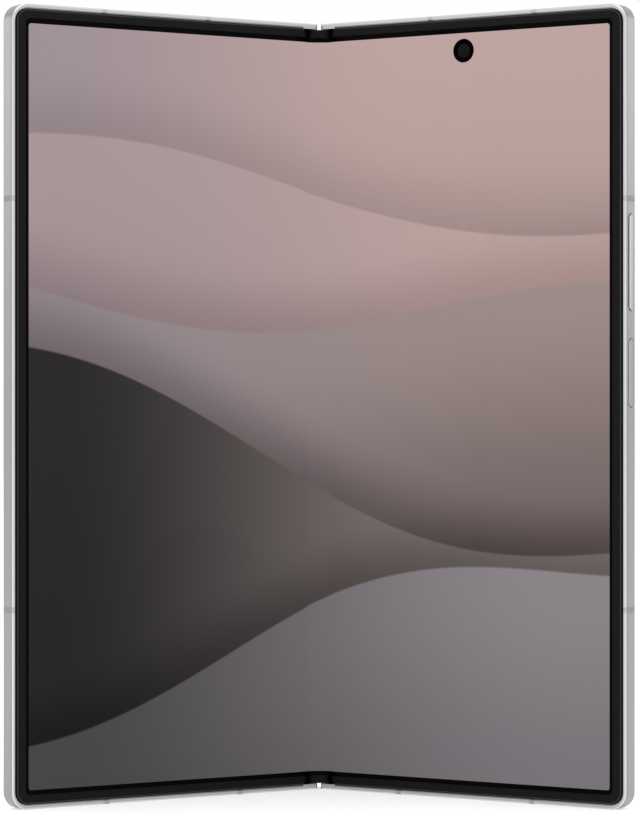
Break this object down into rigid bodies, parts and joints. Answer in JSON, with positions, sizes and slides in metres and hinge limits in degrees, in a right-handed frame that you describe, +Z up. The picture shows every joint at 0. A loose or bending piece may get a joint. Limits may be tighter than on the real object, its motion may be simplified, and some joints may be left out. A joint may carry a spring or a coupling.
{
  "type": "foldable smartphone",
  "caption": "Book-style foldable smartphone with an inner folding display, a cover display, a geared hinge, side keys and a card tray.",
  "frame": {"origin": "centre of the half-open handset's outline in plan, on the surface that its bottom edges stand on", "axes": "+Z up along the hinge; the inner display faces -Y; +X towards the half with the side keys"},
  "size_m": [0.1242, 0.0418, 0.1584],
  "materials": {
    "frame_metal": "satin anodised",
    "band_plastic": "matte moulded",
    "bezel_black": "matte moulded",
    "display_stack": "glossy flexible panel",
    "support_metal": "rolled sheet",
    "spine_metal": "satin anodised",
    "cap_black": "matte moulded",
    "hinge_steel": "machined",
    "spring_steel": "bright",
    "rear_glass": "satin etched, backed with colour",
    "cover_glass": "polished, black behind",
    "lens_glass": "polished",
    "camera_metal": "satin anodised",
    "camera_black": "matte",
    "flash_lens": "frosted",
    "board": "solder mask",
    "shield_metal": "plated sheet",
    "battery": "wrapped pouch",
    "coil_copper": "lacquered wire",
    "port_steel": "plated",
    "speaker_black": "matte moulded",
    "magnet": "nickel plated",
    "flex_amber": "film",
    "key_metal": "satin anodised",
    "card": "glossy with contacts"
  },
  "bodies": {
    "hinge_spine": {"hinge_spine_cover": "spine_metal", "hinge_cap_top": "cap_black", "hinge_cap_bottom": "cap_black", "rail_bracket_upper": "hinge_steel", "rail_bracket_lower": "hinge_steel", "sync_housing": "hinge_steel", "sync_shafts": "spring_steel", "torque_washers": "spring_steel", "fold_support_plate": "support_metal", "inner_display_fold": "display_stack", "hinge_flex_cables": "flex_amber"},
    "right_half": {"right_frame": "frame_metal", "right_antenna_bands": "band_plastic", "right_bezel": "bezel_black", "inner_display_right": "display_stack", "right_display_plate": "support_metal", "right_hinge_rails": "hinge_steel", "rear_glass": "rear_glass", "camera_island": "camera_metal", "camera_lens_rings": "camera_metal", "camera_lenses": "lens_glass", "rear_cameras": "camera_black", "flash_led": "flash_lens", "inner_camera": "camera_black", "main_board": "board", "board_shields": "shield_metal", "right_battery": "battery", "charging_coil": "coil_copper", "usb_port": "port_steel", "sub_board": "board", "bottom_speaker": "speaker_black", "right_magnets": "magnet", "right_screws": "spring_steel", "key_flex": "flex_amber"},
    "left_half": {"left_frame": "frame_metal", "left_antenna_bands": "band_plastic", "left_bezel": "bezel_black", "inner_display_left": "display_stack", "left_display_plate": "support_metal", "left_hinge_rails": "hinge_steel", "cover_glass": "cover_glass", "cover_display": "display_stack", "cover_camera": "camera_black", "left_battery": "battery", "left_board": "board", "top_speaker": "speaker_black", "vibration_motor": "port_steel", "sim_socket": "shield_metal", "left_magnets": "magnet", "left_screws": "spring_steel"},
    "sync_arm_left": {"sync_arm_left": "hinge_steel"},
    "sync_arm_right": {"sync_arm_right": "hinge_steel"},
    "sync_idler_left": {"sync_idler_left": "hinge_steel"},
    "sync_idler_right": {"sync_idler_right": "hinge_steel"},
    "volume_key": {"volume_key": "key_metal"},
    "side_key": {"side_key": "key_metal"},
    "sim_tray": {"sim_tray": "key_metal", "sim_card": "card"}
  },
  "joints": [
    {"name": "fold_left", "type": "hinge", "parent": "hinge_spine", "child": "left_half", "pos_m": [-0.0012, 0.01765, 0.0792], "axis": [0, 0, 1], "range_deg": [-32.5, 57.5], "deforming": ["inner_display_fold", "hinge_flex_cables"]},
    {"name": "fold_right", "type": "hinge", "parent": "hinge_spine", "child": "right_half", "pos_m": [0.0012, 0.01765, 0.0792], "axis": [0, 0, -1], "range_deg": [-32.5, 57.5], "deforming": ["inner_display_fold", "hinge_flex_cables"]},
    {"name": "sync_arm_left_turn", "type": "hinge", "parent": "hinge_spine", "child": "sync_arm_left", "pos_m": [-0.0018, 0.0185, 0.0792], "axis": [0, 0, 1], "range_deg": [-32.5, 57.5]},
    {"name": "sync_arm_right_turn", "type": "hinge", "parent": "hinge_spine", "child": "sync_arm_right", "pos_m": [0.0018, 0.0185, 0.0792], "axis": [0, 0, -1], "range_deg": [-32.5, 57.5]},
    {"name": "sync_idler_left_turn", "type": "hinge", "parent": "hinge_spine", "child": "sync_idler_left", "pos_m": [-0.0006, 0.0185, 0.0792], "axis": [0, 0, -1], "range_deg": [-32.5, 57.5]},
    {"name": "sync_idler_right_turn", "type": "hinge", "parent": "hinge_spine", "child": "sync_idler_right", "pos_m": [0.0006, 0.0185, 0.0792], "axis": [0, 0, 1], "range_deg": [-32.5, 57.5]},
    {"name": "volume_rock", "type": "hinge", "parent": "right_half", "child": "volume_key", "pos_m": [0.05973, -0.01815, 0.10755], "axis": [0.5373, 0.8434, 0], "range_deg": [-1.2, 1.2], "stiffness_Nm_per_rad": 0.5},
    {"name": "side_key_press", "type": "slide", "parent": "right_half", "child": "side_key", "axis": [-0.8434, 0.5373, 0], "range_m": [0, 0.00025], "stiffness_N_per_m": 3000, "springref_m": -0.0001},
    {"name": "sim_tray_slide", "type": "slide", "parent": "left_half", "child": "sim_tray", "axis": [0, 0, 1], "range_m": [0, 0.016]}
  ],
  "couplings": [
    {"joint": "fold_right", "follows": "fold_left", "ratio": 1},
    {"joint": "sync_arm_left_turn", "follows": "fold_left", "ratio": 1},
    {"joint": "sync_arm_right_turn", "follows": "fold_left", "ratio": 1},
    {"joint": "sync_idler_left_turn", "follows": "fold_left", "ratio": 1},
    {"joint": "sync_idler_right_turn", "follows": "fold_left", "ratio": 1}
  ]
}
